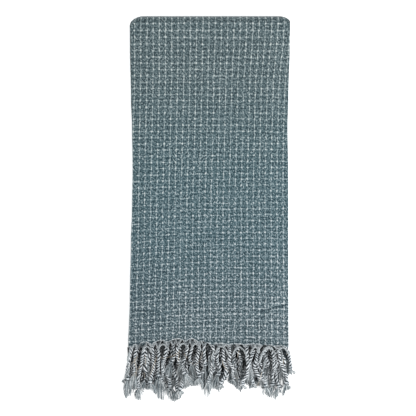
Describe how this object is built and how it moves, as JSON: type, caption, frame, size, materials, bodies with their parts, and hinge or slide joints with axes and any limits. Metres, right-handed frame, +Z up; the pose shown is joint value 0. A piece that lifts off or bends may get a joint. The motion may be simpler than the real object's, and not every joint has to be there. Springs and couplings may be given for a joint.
{
  "type": "folded hammam towel",
  "caption": "Fringed cotton hammam towel with a raised grid weave, folded into a long flat stack with both twisted fringes at one end.",
  "frame": {"origin": "middle of the folded towel's underside, on the surface that it lies on", "axes": "+Y towards the last fold and away from the fringes, +Z up, +X across the width"},
  "size_m": [0.2386, 0.5352, 0.0344],
  "materials": {
    "woven_cotton": "matt woven cotton with a raised grid",
    "twisted_cotton": "matt twisted cotton"
  },
  "bodies": {
    "root": {"towel_cloth": "woven_cotton", "fringe_upper": "twisted_cotton", "fringe_lower": "twisted_cotton"}
  },
  "joints": []
}
